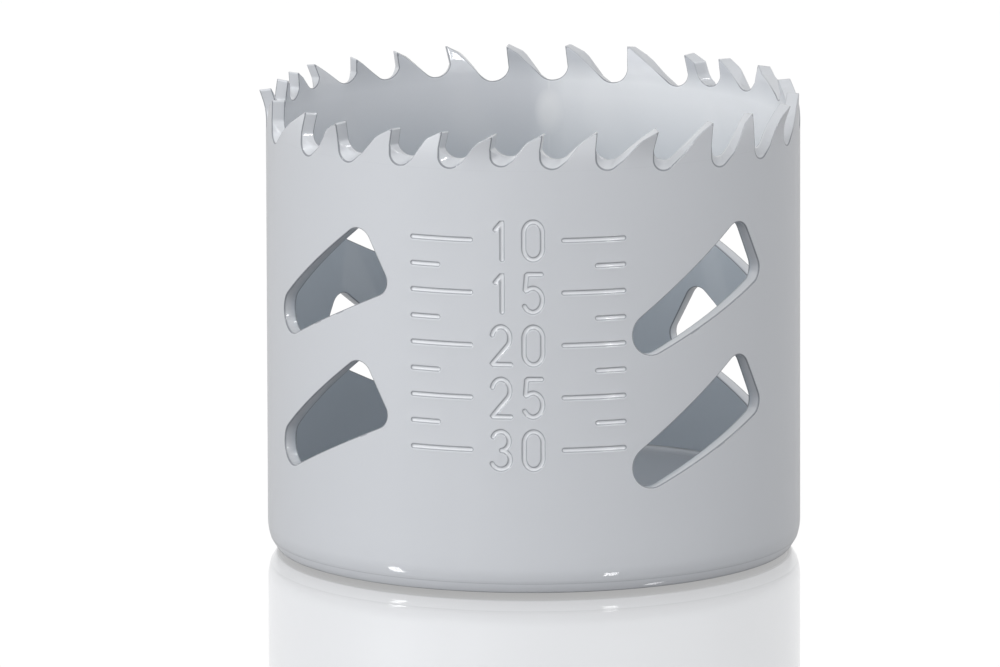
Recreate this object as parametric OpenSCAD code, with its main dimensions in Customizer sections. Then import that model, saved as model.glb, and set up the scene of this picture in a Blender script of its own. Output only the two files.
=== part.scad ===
/* [Cup] */
// Cutting diameter, measured across the outward-set teeth
cut_d = 52; // [46:1:62]
// Overall height, from the base to the tooth tips
total_h = 43.8; // [41:0.2:52]
// Thickness of the rolled steel wall
wall_t = 1.2; // [1:0.1:1.6]
// Radius of the curve that draws the lower edge in
edge_r = 4.7; // [3.5:0.1:8]
// Height at which that curve begins
edge_h = 2.5; // [1.2:0.1:3]

/* [Teeth] */
// How far the outward-set teeth lean past the wall
set_out = 0.65; // [0.3:0.05:0.9]
// How far the inward-set teeth lean into the cup
set_in = 0.35; // [0.2:0.05:0.8]
// Height ground off the sharp apex of each tooth
land = 0.08; // [0.04:0.02:0.2]
// Height of the hard steel tips, welded on the strip and bent over by the set
tip_h = 2; // [1.4:0.1:2.1]
// Forward lean of the cutting face
hook = 0.25; // [0:0.05:0.5]
// Depth of the deepest gullet
gullet_depth = 3.6; // [3.2:0.1:4]
// Height of the cutting face as a share of the gullet depth
rake_share = 0.62; // [0.5:0.02:0.75]
// Radius of the round gullet floor
gullet_r = 1.45; // [1.2:0.05:1.7]
// Length of the shallow relief facet behind each tip
facet_run = 1.5; // [1:0.05:1.6]
// Fall of that facet
facet_drop = 0.75; // [0.4:0.05:0.9]
// Slant of the tooth faces away from the radius, in degrees
slant = 20; // [0:1:25]
// Radius of the scoop ground into the outside of each gullet
scoop_r = 1.1; // [0.8:0.05:1.3]
// How much deeper the scoop is at the outer face
scoop_drop = 0.8; // [0.4:0.05:1.1]

/* [Chip slots] */
// Height of the lowest point of the lower row
slot_z = 9.75; // [7.5:0.25:10.5]
// Rise from the lower row to the upper row
row_rise = 12.7; // [12.4:0.1:14]
// Length of a slot around the wall
slot_w = 15.5; // [12:0.1:20]
// Height of a slot from its lowest to its highest point
slot_h = 11.5; // [9:0.1:11.7]
// Radius of the large lower end
low_r = 2; // [1.2:0.1:2.6]
// Radius of the upper corner
top_r = 1.6; // [0.8:0.1:2]
// Radius of the far side corner
side_r = 1.4; // [0.8:0.1:2]
// Distance of the upper corner in from the far side
top_in = 3.35; // [2.6:0.05:4.5]
// Drop from the top of the slot to the centre of the side corner
side_drop = 4.8; // [3.6:0.1:5.6]

/* [Cap] */
// Thickness of the base plate
cap_t = 4.76; // [3.5:0.02:6.5]
// Bore of the arbor thread, at the crests of the thread
bore_d = 14.6; // [12:0.1:16]
// Major diameter of the arbor thread, the mouth of its chamfers
thread_d = 15.875; // [14.5:0.005:17]
// Diameter of each drive pin hole
pin_d = 6.5; // [5:0.1:7]
// Pitch circle of the drive pin holes
pin_circle = 24.8; // [24:0.1:30]

/* [Hidden] */
// Outer and inner radius of the wall
wall_r = cut_d / 2 - set_out;
wall_ri = wall_r - wall_t;
// Spacing of the teeth in degrees, counter-clockwise seen from the teeth;
// uneven on purpose, as a variable-pitch edge is, and closed to a full turn
rhythm = [14.5, 17.5, 13.5, 14, 11.5, 11.5, 10.5, 12, 13, 15, 14, 13.5, 14.5,
    18, 17.5, 12.5, 10, 16, 14, 13.5, 13.5, 13, 12.5, 12, 10.5, 10, 12];
teeth = len(rhythm);
function run(k) = k == 0 ? 0 : run(k - 1) + rhythm[k - 1];
turn = 360 / run(teeth);
// Direction of the first tooth; the slot columns stand on the two main axes
first_az = -130.3;
function gap(k) = rhythm[k % teeth] * turn;
function az(k) = first_az + run(k) * turn;
// Depth of each gullet as a share of the deepest; the cutter rises and falls
// along the strip
deepness = [0.96, 0.8, 0.82, 0.82, 0.69, 0.67, 0.64, 0.69, 0.76, 0.88, 0.98, 1,
    0.92, 0.76, 0.64, 0.72, 0.79, 0.91, 0.96, 0.94, 0.96, 0.78, 0.7, 0.64, 0.58,
    0.68, 0.86];
function depth(k) = gullet_depth * deepness[k % teeth];
// Lean of each tooth: out, straight, in, over and over
function lean(k) = k % 3 == 0 ? set_out : k % 3 == 1 ? 0 : -set_in;
weld_z = total_h - tip_h;
// Gullet outline, seen along the cut: u across, v up, tip level at zero
function u_tip(k, s) = wall_r * (sin(slant + s * gap(k) / 2) - sin(slant));
function rake_foot(k) = [u_tip(k, -1) - hook, -rake_share * depth(k)];
function centre(k) = let (v = gullet_r - depth(k), d = v + rake_share * depth(k))
    [rake_foot(k)[0] + sqrt(gullet_r * gullet_r - d * d), v];
function facet_end(k) = [u_tip(k, 1) - facet_run * cos(slant + gap(k) / 2),
    -facet_drop];
// Point where the back slope runs into the round floor, just inside its curve
blend = 0.03;
function floor_end(k) = let (c = centre(k), q = facet_end(k) - c,
    a = atan2(q[1], q[0]) - acos(min(1, gullet_r / norm(q))))
    c + (gullet_r - blend) * [cos(a), sin(a)];
// Slot outline: centres of its three round corners, from the slot's low left
slot_pts = [[low_r - slot_w / 2, low_r, low_r],
    [slot_w / 2 - top_in, slot_h - top_r, top_r],
    [slot_w / 2 - side_r, slot_h - side_drop, side_r]];
// Straight side joining two round corners, on the right going from i to j;
// its ends stand just inside the corners
function side(i, j) = let (d = [j[0] - i[0], j[1] - i[1]],
    a = atan2(d[1], d[0]) - acos((i[2] - j[2]) / norm(d)))
    [for (c = [i, j]) [c[0] + (c[2] - blend / 3) * cos(a),
        c[1] + (c[2] - blend / 3) * sin(a)]];

// Section of the strip below the tips: straight, drawn in at the lower edge
module wall_section() {
    translate([wall_ri, edge_h]) square([wall_t, weld_z - edge_h]);
    intersection() {
        translate([wall_ri, 0]) square([wall_t, edge_h]);
        translate([wall_r - edge_r, edge_h]) circle(r = edge_r, $fn = 120);
    }
}

// Section of a set tooth, leaning by s at the tip level
module lean_section(s) {
    polygon([[wall_ri, weld_z], [wall_r, weld_z],
        [wall_r + s, total_h], [wall_ri + s, total_h]]);
}

// Hard steel edge before the gullets: one leaning sector for each tooth,
// from just past one gullet floor to just short of the next
module tooth_sectors() {
    for (k = [0:teeth - 1]) {
        back = az(k) - gap(k + teeth - 1) + floor_az(k + teeth - 1) + part_az;
        rotate([0, 0, back])
            rotate_extrude(angle = az(k) + floor_az(k) - part_az - back,
                $fn = 180)
                lean_section(lean(k));
    }
}
part_az = 0.3;

// Direction of the gullet floor, ahead of its own tooth
function floor_az(k) = asin(centre(k)[0] / wall_r + sin(slant)) - slant
    + gap(k) / 2;

// Outline of one gullet with the relief facet of the next tooth, cut off
// on the left by the line of the cutting face
module gullet_outline(k) {
    a = rake_foot(k);
    c = centre(k);
    top = 1;
    low = -depth(k) - 1;
    lead = -hook / a[1];
    reach = u_tip(k, 1) + top * facet_run * cos(slant + gap(k) / 2)
        / facet_drop;
    intersection() {
        union() {
            translate(c) circle(r = gullet_r, $fn = 60);
            polygon([[a[0] - 1, top], [a[0] - 1, c[1]], c, floor_end(k),
                facet_end(k), [reach, top]]);
        }
        polygon([[u_tip(k, -1) + lead * (top + 1), top + 1],
            [u_tip(k, -1) + lead * low, low], [reach + 1, low],
            [reach + 1, top + 1]]);
    }
}

// Places a cutter at the gullet after tooth k, x pointing out along the cut
module at_gullet(k) {
    translate([0, 0, total_h + land])
        rotate([0, 0, az(k) + gap(k) / 2])
            translate([wall_r, 0, 0])
                rotate([0, 0, -slant])
                    children();
}

// Gullets and the scoops ground into their outer mouths
module gullet_cuts() {
    for (k = [0:teeth - 1]) {
        at_gullet(k)
            translate([-4.5, 0, 0]) rotate([90, 0, 90])
                linear_extrude(height = 7.5) gullet_outline(k);
        at_gullet(k)
            translate([0, rake_foot(k)[0] + scoop_r,
                scoop_r - depth(k) - scoop_drop])
                rotate([0, 90 + atan(scoop_drop / wall_t), 0])
                    translate([0, 0, -3])
                        cylinder(r = scoop_r, h = 6, $fn = 48);
    }
}

// Outline of a chip slot, low rounded end on the left
module slot_outline() {
    a = side(slot_pts[0], slot_pts[2]);
    b = side(slot_pts[2], slot_pts[1]);
    c = side(slot_pts[1], slot_pts[0]);
    polygon([a[0], a[1], b[0], b[1], c[0], c[1]]);
    for (p = slot_pts) translate([p[0], p[1]]) circle(r = p[2], $fn = 60);
}

// Two rows of slots on four sides
module slot_cuts() {
    for (q = [0:3], row = [0:1])
        rotate([0, 0, 90 * q])
            translate([wall_r - 7, 0, slot_z + row * row_rise])
                rotate([90, 0, 90])
                    linear_extrude(height = 9) slot_outline();
}

// Rolled and welded backing strip: wall, slots, gullets and tooth roots
module cup_wall() {
    color([0.80, 0.80, 0.82])
        difference() {
            rotate_extrude($fn = 180) wall_section();
            gullet_cuts();
            slot_cuts();
        }
}

// Hard steel tips, welded on the tooth roots and set out, straight and in
module tooth_tips() {
    color([0.82, 0.82, 0.84])
        difference() {
            tooth_sectors();
            gullet_cuts();
        }
}

// Section of the base plate, with chamfers at both mouths of the bore
module cap_section() {
    lead = (thread_d - bore_d) / 2;
    polygon([[bore_d / 2 + lead, 0], [wall_ri, 0], [wall_ri, cap_t],
        [bore_d / 2 + lead, cap_t], [bore_d / 2, cap_t - lead],
        [bore_d / 2, lead]]);
}

// Base plate with the arbor thread bore and four drive pin holes
module base_cap() {
    color([0.78, 0.78, 0.80])
        difference() {
            rotate_extrude($fn = 180) cap_section();
            for (q = [0:3]) rotate([0, 0, 45 + 90 * q])
                translate([pin_circle / 2, 0, -1])
                    cylinder(d = pin_d, h = cap_t + 2, $fn = 48);
        }
}

cup_wall();
tooth_tips();
base_cap();
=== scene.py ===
"""Hole saw in light grey enamel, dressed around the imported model.

The strip with its teeth, slots and stamped depth scale is worked out flat, as
distance along the strip and height, and is then rolled round the axis. The
base plate has its cut arbor thread and its four drive pin holes. Lengths are
in millimetres until a mesh is written, which is in metres like the model.
"""

import logging
import math
from dataclasses import dataclass, field
from enum import Enum

import bmesh
import bpy
import numpy as np
from mathutils import Matrix, Vector
from mathutils.geometry import delaunay_2d_cdt

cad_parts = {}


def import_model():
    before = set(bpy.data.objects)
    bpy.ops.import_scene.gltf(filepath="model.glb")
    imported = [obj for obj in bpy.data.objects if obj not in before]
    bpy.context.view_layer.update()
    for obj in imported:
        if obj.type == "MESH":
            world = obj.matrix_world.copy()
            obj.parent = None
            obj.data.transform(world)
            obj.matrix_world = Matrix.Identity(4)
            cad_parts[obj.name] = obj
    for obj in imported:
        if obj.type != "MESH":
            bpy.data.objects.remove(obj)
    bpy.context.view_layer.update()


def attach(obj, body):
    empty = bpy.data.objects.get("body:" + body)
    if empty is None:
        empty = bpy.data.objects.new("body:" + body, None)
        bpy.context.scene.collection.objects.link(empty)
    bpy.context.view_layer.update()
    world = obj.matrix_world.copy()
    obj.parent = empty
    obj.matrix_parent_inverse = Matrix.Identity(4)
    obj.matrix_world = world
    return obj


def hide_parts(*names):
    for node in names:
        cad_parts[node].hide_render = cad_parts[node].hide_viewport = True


LOG = logging.getLogger("hole_saw")
MM = 0.001
TURN = 2 * math.pi
INSIDE_OUTLINES = 1
TONES = ("edge", "inside", "stroke")
BARE = (-3.0, 0.0, 0.0)
EDGE_REACH = 0.04
STROKE_REACH = 0.5
CLEAR = 0.5
FAR = 9.0
WELD_REACH = 2e-6
SHORTEST_EDGE = 1e-7


class Face(Enum):
    """Side of the rolled strip."""

    OUTER = "outer"
    INNER = "inner"


class Lean(Enum):
    """Set of a tooth: how far its tip leans out of the wall."""

    OUT = 0.65
    STRAIGHT = 0.0
    IN = -0.35


@dataclass
class Blank:
    """Loose patches of one piece, gathered before they are welded together.

    Each patch holds its points, its faces and three tones for each point.
    Edge is 1 on a sharp edge and falls by 1 for each 0.04 mm away from it.
    Inside is 1 on what faces into the cup. Stroke is 1 on the middle of a
    stamped stroke and falls to 0 half a millimetre away.
    """

    points: list[np.ndarray] = field(default_factory=list)
    faces: list[np.ndarray] = field(default_factory=list)
    tones: list[np.ndarray] = field(default_factory=list)
    count: int = 0

    def add(self, points: np.ndarray, faces: np.ndarray,
            tones: np.ndarray | tuple[float, ...] = BARE) -> None:
        """Adds one patch.

        Args:
            points: the patch's points, in millimetres, one row each.
            faces: rows of point numbers, three or four to a face.
            tones: three tones of each point, or of all.
        """
        self.points.append(points)
        self.faces.append(np.asarray(faces) + self.count)
        self.tones.append(np.broadcast_to(tones, (len(points), len(TONES))))
        self.count += len(points)

    def add_grid(self, grid: np.ndarray,
                 tones: np.ndarray | tuple[float, ...] = BARE) -> None:
        """Adds a grid as quads, with its last column joined to its first.

        Args:
            grid: points of rows by columns by three.
            tones: three tones of each point, of each row, or of all.
        """
        rows, columns = grid.shape[:2]
        number = np.arange(rows * columns).reshape(rows, columns)
        number = np.hstack([number, number[:, :1]])
        quads = np.stack([number[:-1, :-1], number[:-1, 1:],
                          number[1:, 1:], number[1:, :-1]], -1)
        tones = np.asarray(tones, float)
        if tones.ndim == 2:
            tones = tones[:, None]
        tones = np.broadcast_to(tones, (rows, columns, len(TONES)))
        self.add(grid.reshape(-1, 3), quads.reshape(-1, 4),
                 tones.reshape(-1, len(TONES)))

    def write(self, name: str) -> bpy.types.Mesh:
        """Writes the patches into one mesh as they are, with their tones.

        Args:
            name: name of the mesh.

        Returns:
            The mesh, in metres.
        """
        points = np.vstack(self.points) * MM
        corners = np.concatenate([faces.reshape(-1) for faces in self.faces])
        sides = np.concatenate([np.full(len(faces), faces.shape[1])
                                for faces in self.faces])
        mesh = bpy.data.meshes.new(name)
        mesh.vertices.add(len(points))
        mesh.vertices.foreach_set("co", points.astype(np.float32).reshape(-1))
        mesh.loops.add(len(corners))
        mesh.loops.foreach_set("vertex_index", corners.astype(np.int32))
        mesh.polygons.add(len(sides))
        starts = np.concatenate([[0], np.cumsum(sides)[:-1]])
        mesh.polygons.foreach_set("loop_start", starts.astype(np.int32))
        for label, values in zip(TONES, np.vstack(self.tones).T):
            layer = mesh.attributes.new(label, "FLOAT", "POINT")
            layer.data.foreach_set("value", values.astype(np.float32))
        mesh.update(calc_edges=True)
        mesh.validate()
        return mesh

    @staticmethod
    def weld(mesh: bpy.types.Mesh) -> int:
        """Welds the patches' seams, turns the faces out and smooths them.

        Args:
            mesh: the mesh to weld.

        Returns:
            How many edges don't join two faces.
        """
        work = bmesh.new()
        work.from_mesh(mesh)
        bmesh.ops.remove_doubles(work, verts=work.verts, dist=WELD_REACH)
        bmesh.ops.dissolve_degenerate(work, edges=work.edges,
                                      dist=SHORTEST_EDGE)
        lone = [point for point in work.verts if not point.link_faces]
        bmesh.ops.delete(work, geom=lone, context="VERTS")
        bmesh.ops.recalc_face_normals(work, faces=work.faces)
        loose = sum(1 for edge in work.edges if len(edge.link_faces) != 2)
        work.to_mesh(mesh)
        work.free()
        mesh.polygons.foreach_set("use_smooth",
                                  np.ones(len(mesh.polygons), bool))
        return loose

    def build(self, name: str) -> bpy.types.Object:
        """Makes one closed piece of the patches.

        Args:
            name: name of the new piece.

        Returns:
            The piece, at the origin, in metres.
        """
        mesh = self.write(name)
        loose = self.weld(mesh)
        piece = bpy.data.objects.new(name, mesh)
        bpy.context.scene.collection.objects.link(piece)
        LOG.info("%s: %d points, %d faces, %d open edges", name,
                 len(mesh.vertices), len(mesh.polygons), loose)
        return piece


def ring_edges(start: int, count: int) -> np.ndarray:
    """Numbers of the edges that close a ring of points.

    Args:
        start: number of the ring's first point.
        count: how many points it has.

    Returns:
        Rows of two point numbers.
    """
    step = np.arange(count)
    return np.stack([step, (step + 1) % count], -1) + start


def inward(path: np.ndarray, reach: np.ndarray | float) -> np.ndarray:
    """Moves a closed flat path to its right, with mitred corners.

    The move at a point is along the mean of its two sides' normals, longer by
    one over the cosine of half the turn, and at most twice the distance.

    Args:
        path: points of the path, one row each.
        reach: distance of the move.

    Returns:
        The moved points.
    """
    ahead = np.roll(path, -1, 0) - path
    ahead /= np.maximum(np.linalg.norm(ahead, axis=1, keepdims=True), 1e-9)
    normal = np.stack([ahead[:, 1], -ahead[:, 0]], -1)
    mean = normal + np.roll(normal, 1, 0)
    mean /= np.maximum(np.linalg.norm(mean, axis=1, keepdims=True), 1e-9)
    lean = np.maximum((mean * normal).sum(1, keepdims=True), 0.5)
    return path + mean / lean * reach


def resample(path: np.ndarray, count: int) -> np.ndarray:
    """Points along a path at equal steps.

    Args:
        path: points of the path, one row each.
        count: how many points the new path has.

    Returns:
        The new points.
    """
    length = np.concatenate([[0], np.cumsum(np.linalg.norm(
        np.diff(path, axis=0), axis=1))])
    stops = np.linspace(0, length[-1], count)
    return np.stack([np.interp(stops, length, path[:, axis])
                     for axis in (0, 1)], -1)


def distance_to(points: np.ndarray, path: np.ndarray, closed: bool,
                chunk: int = 400) -> np.ndarray:
    """Distance of flat points from a path's nearest side.

    Args:
        points: points to measure, one row each.
        path: points of the path.
        closed: whether the path's last point joins its first.
        chunk: how many points are measured at a time.

    Returns:
        One distance for each point.
    """
    start = path if closed else path[:-1]
    side = (np.roll(path, -1, 0) if closed else path[1:]) - start
    long = np.maximum((side ** 2).sum(1), 1e-12)
    least = []
    for first in range(0, len(points), chunk):
        arm = points[first:first + chunk, None] - start[None]
        along = np.clip((arm * side).sum(-1) / long, 0, 1)
        gap = arm - along[..., None] * side
        least.append(np.sqrt((gap ** 2).sum(-1)).min(1))
    return np.concatenate(least) if least else np.zeros(0)


def nearest(points: np.ndarray, path: np.ndarray,
            chunk: int = 400) -> np.ndarray:
    """Number of the path's point that lies nearest to each point.

    Args:
        points: points to match, one row each.
        path: points of the path.
        chunk: how many points are matched at a time.

    Returns:
        One number for each point.
    """
    found = []
    for first in range(0, len(points), chunk):
        arm = points[first:first + chunk, None] - path
        found.append((arm ** 2).sum(-1).argmin(1))
    return np.concatenate(found) if found else np.zeros(0, int)


def is_inside(points: np.ndarray, path: np.ndarray,
              chunk: int = 400) -> np.ndarray:
    """Tells which flat points lie inside a closed path.

    A point is inside if a level line from it crosses the path an odd number
    of times.

    Args:
        points: points to test, one row each.
        path: points of the path.
        chunk: how many points are tested at a time.

    Returns:
        True for each point inside.
    """
    after = np.roll(path, -1, 0)
    rise = after[:, 1] - path[:, 1]
    rise = np.where(np.abs(rise) < 1e-12, 1e-12, rise)
    inside = []
    for first in range(0, len(points), chunk):
        x, y = points[first:first + chunk].T[..., None]
        spans = (path[:, 1] > y) != (after[:, 1] > y)
        share = (y - path[:, 1]) / rise
        cross = path[:, 0] + share * (after[:, 0] - path[:, 0])
        inside.append((spans & (x < cross)).sum(1) % 2 == 1)
    return np.concatenate(inside) if inside else np.zeros(0, bool)


def well_inside(grid: np.ndarray, outline: np.ndarray,
                holes: list[np.ndarray]) -> np.ndarray:
    """Picks the points of a grid that lie well inside an outline.

    Args:
        grid: flat points.
        outline: closed outline.
        holes: closed outlines of the holes in it.

    Returns:
        The points inside it, outside every hole and clear of every line.
    """
    gap = np.min([distance_to(grid, line, True)
                  for line in (outline, *holes)], 0)
    grid = grid[(gap > CLEAR) & is_inside(grid, outline)]
    for hole in holes:
        grid = grid[~is_inside(grid, hole)]
    return grid


def triangulate(outline: np.ndarray, holes: list[np.ndarray],
                extra: np.ndarray) -> tuple[np.ndarray, np.ndarray]:
    """Fills a flat outline with triangles, leaving its holes open.

    A grid can't follow gullets, slots and stamped strokes at once, so the flat
    face is triangulated between its outlines, through the extra points.

    Args:
        outline: the closed outer outline.
        holes: closed outlines of the holes.
        extra: further points inside, on no outline.

    Returns:
        The points and the triangles' point numbers.
    """
    rings = [outline, *holes]
    starts = np.cumsum([0] + [len(ring) for ring in rings])
    edges = np.vstack([ring_edges(start, len(ring))
                       for start, ring in zip(starts, rings)])
    points = np.vstack([*rings, extra])
    found = delaunay_2d_cdt(points.tolist(), edges.tolist(), [],
                            INSIDE_OUTLINES, 1e-5)
    flat, faces = np.array(found[0]), np.array(found[2])
    middle = flat[faces].mean(1)
    for hole in holes:
        open_space = is_inside(middle, hole)
        middle, faces = middle[~open_space], faces[~open_space]
    return flat, faces


@dataclass(frozen=True)
class StripSizes:
    """Sizes of the rolled strip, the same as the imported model's."""

    radius: float = 25.35
    thick: float = 1.2
    height: float = 43.8
    tip_height: float = 2.0
    edge_radius: float = 4.7
    edge_height: float = 2.5
    rounding: float = 0.06

    @property
    def inner_radius(self) -> float:
        """Works out the radius of the inner face.

        Returns:
            The outer radius less the thickness.
        """
        return self.radius - self.thick

    @property
    def bend_height(self) -> float:
        """Works out the height at which the teeth are bent over.

        Returns:
            The height of the strip less that of the tips.
        """
        return self.height - self.tip_height

    @property
    def around(self) -> float:
        """Works out the length of the strip.

        Returns:
            One turn at the outer radius.
        """
        return TURN * self.radius


@dataclass
class RolledSheet:
    """Rolls flat strip co-ordinates into space and bends the teeth over."""

    sizes: StripSizes
    soft_bend: float = 1.0
    turn_share: float = 0.5

    def place(self, along: np.ndarray, height: np.ndarray,
              depth: np.ndarray | float,
              lean: np.ndarray | float) -> np.ndarray:
        """Point in space for each flat point.

        The azimuth is the distance along the strip over the outer radius. The
        radius is that of the middle of the strip, moved out by the lean as it
        grows above the bend, plus what the depth leaves of half the thickness
        times the cosine of the lean. The height drops by a share of the same
        arm times the sine of the lean.

        Args:
            along: distance along the outer face.
            height: height above the base.
            depth: depth below the outer face.
            lean: lean of the tooth at the tip level.

        Returns:
            Points, with three numbers each.
        """
        size = self.sizes
        rise = height - size.bend_height
        soft = self.soft_bend
        ramp = np.where(rise > soft, rise,
                        np.clip(rise + soft, 0, None) ** 2 / (4 * soft))
        steep = np.clip((rise + soft) / (2 * soft), 0, 1) / size.tip_height
        angle = np.arctan(lean * steep)
        arm = size.thick / 2 - depth
        radius = (size.radius - size.thick / 2 + lean * ramp / size.tip_height
                  + arm * np.cos(angle))
        azimuth = along / size.radius
        level = height - self.turn_share * arm * np.sin(angle)
        return np.stack([radius * np.cos(azimuth), radius * np.sin(azimuth),
                         level * np.ones_like(azimuth)], -1)


@dataclass
class ToothEdge:
    """Variable-pitch tooth edge: slanted gullets, a scoop in each mouth."""

    sizes: StripSizes
    first_azimuth: float = -130.3
    rhythm: tuple[float, ...] = (
        14.5, 17.5, 13.5, 14, 11.5, 11.5, 10.5, 12, 13, 15, 14, 13.5, 14.5, 18,
        17.5, 12.5, 10, 16, 14, 13.5, 13.5, 13, 12.5, 12, 10.5, 10, 12)
    land: float = 0.08
    land_width: float = 0.16
    pinch: float = 0.6
    fine_steps: int = 500
    rake_points: int = 6
    floor_points: int = 44
    relief_points: int = 5
    hook: float = 0.25
    deepest: float = 3.6
    deepness: tuple[float, ...] = (
        0.96, 0.9, 0.88, 0.82, 0.73, 0.71, 0.62, 0.69, 0.76, 0.88, 0.98, 1,
        0.92, 0.76, 0.64, 0.72, 0.79, 0.91, 0.96, 0.94, 0.96, 0.78, 0.7, 0.64,
        0.58, 0.68, 0.86)
    rake_share: float = 0.62
    gullet_radius: float = 1.45
    facet_run: float = 1.5
    facet_drop: float = 0.75
    slant: float = 20.0
    scoop_radius: float = 1.1
    scoop_drop: float = 0.8
    scoop_skew: float = 1.1
    scoop_rise: float = 38.0
    scoop_lift: float = 1.08
    scoop_narrowing: float = 0.45
    scoop_end: float = 0.16
    width_share: float = 0.3
    skew_share: float = 0.28
    kink_share: float = 0.62
    margin: float = 0.05
    floor_ahead: float = 1.25
    floor_skew: float = 0.37
    floor_blend: float = 0.7
    worn_until: int = 26
    thin_from: int = 38
    thin_share: float = 0.35

    @property
    def run_points(self) -> int:
        """Counts the points of one gullet's path.

        Returns:
            The points of the cutting face, the floor and the relief facet.
        """
        return self.rake_points + self.floor_points + self.relief_points

    def leans(self) -> np.ndarray:
        """Lists the lean of every tooth: out, straight, in, over and over.

        Returns:
            One lean for each tooth.
        """
        order = (Lean.OUT.value, Lean.STRAIGHT.value, Lean.IN.value)
        return np.resize(order, len(self.rhythm))

    def azimuths(self) -> np.ndarray:
        """Lists the direction of every tooth tip.

        Returns:
            One direction in radians for each tooth.
        """
        turn = np.array(self.rhythm) * TURN / sum(self.rhythm)
        return math.radians(self.first_azimuth) + np.cumsum(turn) - turn

    def gullet(self, number: int, depth: float) -> tuple[np.ndarray, ...]:
        """Cut edge of one gullet at a depth below the outer face.

        Seen along the slanted cut, u runs across it and v up from the sharp
        tip. The path is the cutting face, the lower of the level cut and the
        scoop, and the relief facet. A point u at radius r lies at the azimuth
        of the cut's direction plus the arcsine of its distance from the axis
        over r.

        Args:
            number: number of the tooth ahead of which the gullet lies.
            depth: depth below the outer face.

        Returns:
            Azimuth and height of each point of the path.
        """
        size, slant = self.sizes, math.radians(self.slant)
        gap = math.radians(self.rhythm[number] * 360 / sum(self.rhythm))
        deep = self.deepest * self.deepness[number]

        def tip_u(side: int) -> float:
            """Works out the place across the cut of a neighbouring tip.

            Args:
                side: -1 for the tooth behind the gullet, 1 for the one ahead.

            Returns:
                Its place across the cut.
            """
            return size.radius * (math.sin(slant + side * gap / 2)
                                  - math.sin(slant))

        foot = np.array([tip_u(-1) - self.hook, -self.rake_share * deep])
        facet_run = self.facet_run * math.cos(slant + gap / 2)
        facet = np.array([tip_u(1) - facet_run, -self.facet_drop])
        across = foot[0] + (facet[0] - foot[0]) * spread(
            self.fine_steps, self.pinch)
        level, leave = self.level_cut(across, foot, facet, deep)
        scoop = self.scoop_cut(across, foot, facet, leave, deep, depth)
        curve = np.stack([across, np.minimum(level, scoop)], -1)
        curve = np.vstack([foot, curve[1:]])

        rake_top = np.array([tip_u(-1) + self.hook / foot[1] * self.land,
                             -self.land])
        rake = rake_top + (foot - rake_top) * spread(
            self.rake_points + 1, self.pinch)[:-1, None]
        cut = resample(curve, self.floor_points)
        relief_end = np.array([tip_u(1) - self.land * facet_run
                               / self.facet_drop, -self.land])
        relief = facet + (relief_end - facet) * spread(
            self.relief_points + 1, self.pinch)[1:, None]
        path = np.vstack([rake, cut, relief])

        offset = size.radius * math.sin(slant) + path[:, 0]
        azimuth = (self.azimuths()[number] + gap / 2 - slant
                   + np.arcsin(offset / (size.radius - depth)))
        return azimuth, size.height + self.land + path[:, 1]

    def level_cut(self, across: np.ndarray, foot: np.ndarray,
                  facet: np.ndarray, deep: float) -> tuple[np.ndarray, ...]:
        """Height of the level cut: a round floor and a straight back slope.

        The floor is the lower half of a circle through the cutting face's
        foot, and the slope is the tangent from it to the relief facet.

        Args:
            across: places across the cut.
            foot: foot of the cutting face.
            facet: lower end of the relief facet.
            deep: depth of the gullet.

        Returns:
            The height at each place, and the point where the slope begins.
        """
        radius = self.gullet_radius
        middle_v = radius - deep
        middle = np.array([foot[0] + math.sqrt(
            radius ** 2 - (middle_v - foot[1]) ** 2), middle_v])
        arm = facet - middle
        last = math.atan2(arm[1], arm[0]) - math.acos(
            radius / math.hypot(arm[0], arm[1]))
        leave = middle + radius * np.array([math.cos(last), math.sin(last)])
        floor = middle_v - np.sqrt(np.maximum(
            radius ** 2 - (across - middle[0]) ** 2, 0))
        share = (across - leave[0]) / (facet[0] - leave[0])
        slope = leave[1] + share * (facet[1] - leave[1])
        return np.where(across < leave[0], floor, slope), leave

    def scoop_cut(self, across: np.ndarray, foot: np.ndarray,
                  facet: np.ndarray, leave: np.ndarray, deep: float,
                  depth: float) -> np.ndarray:
        """Height of the scoop, which is deepest at the outer face.

        It is the lower half of an ellipse, a straight rise that is tangent to
        it, and a steeper side from a kink to a point just below the relief
        facet. All of it rises, its near side draws away from the cutting face
        and it narrows in proportion to the depth below the outer face, so that
        it runs out at the inner face.

        Args:
            across: places across the cut.
            foot: foot of the cutting face.
            facet: lower end of the relief facet.
            leave: point where the level cut's slope begins.
            deep: depth of the gullet.
            depth: depth below the outer face.

        Returns:
            The height at each place, far up where the scoop doesn't cut.
        """
        inside = depth / self.sizes.thick
        lift = (self.scoop_lift * self.scoop_drop * inside
                / math.cos(math.radians(self.slant)))
        bottom = lift - deep - self.scoop_drop
        end = facet + self.scoop_end * (leave - facet)
        room = end[0] - foot[0]
        wide = ((1 - self.scoop_narrowing * inside)
                * min(self.scoop_radius, self.width_share * room))
        tall = min(wide, foot[1] - self.margin - bottom)
        near = foot[0] + min(self.scoop_skew, self.skew_share * room) * inside
        steep = math.tan(math.radians(self.scoop_rise))
        turn = math.atan(steep * wide / tall)
        turn_u = near + wide + wide * math.sin(turn)
        turn_v = bottom + tall * (1 - math.cos(turn))
        kink_u = max(foot[0] + self.kink_share * (facet[0] - foot[0]),
                     turn_u + self.margin)
        kink_v = turn_v + (kink_u - turn_u) * steep
        bowl = bottom + tall * (1 - np.sqrt(np.clip(
            1 - ((across - near) / wide - 1) ** 2, 0, 1)))
        side = np.interp(
            across, [turn_u, kink_u, max(end[0], kink_u + 2 * self.margin)],
            [turn_v, kink_v, end[1] + lift])
        cut = np.where(across < turn_u, bowl, side)
        return np.where((across < near) | (across > end[0]), FAR, cut)

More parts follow.
